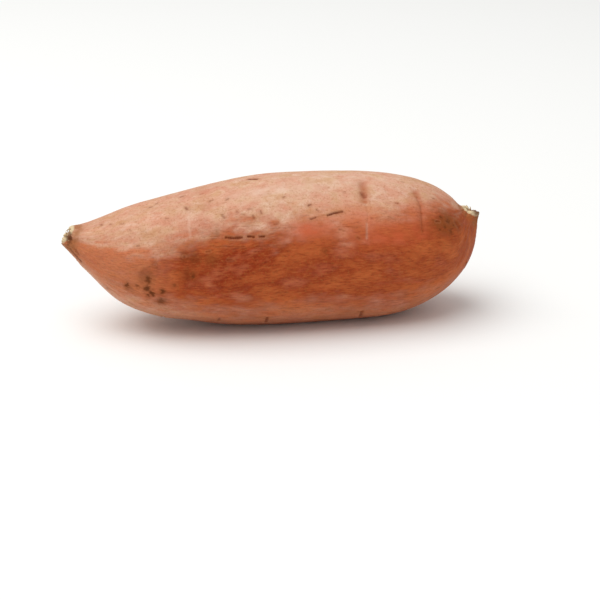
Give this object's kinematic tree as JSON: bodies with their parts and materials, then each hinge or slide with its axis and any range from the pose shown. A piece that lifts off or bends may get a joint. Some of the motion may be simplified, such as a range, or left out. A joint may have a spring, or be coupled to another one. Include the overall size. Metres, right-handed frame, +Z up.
{
  "type": "sweet potato",
  "caption": "Whole raw sweet potato: a long swollen root, thickest past the middle, with a snapped woody stub at each end, lying on its belly.",
  "frame": {"origin": "middle of the root's outline as seen from above, on the surface it lies on", "axes": "+X along the root from the tail stub to the crown stub, +Z up; -Y is the side first seen"},
  "size_m": [0.1878, 0.0704, 0.0666],
  "materials": {
    "sweet_potato_skin": "matte"
  },
  "bodies": {
    "root": {"sweet_potato": "sweet_potato_skin"}
  },
  "joints": []
}
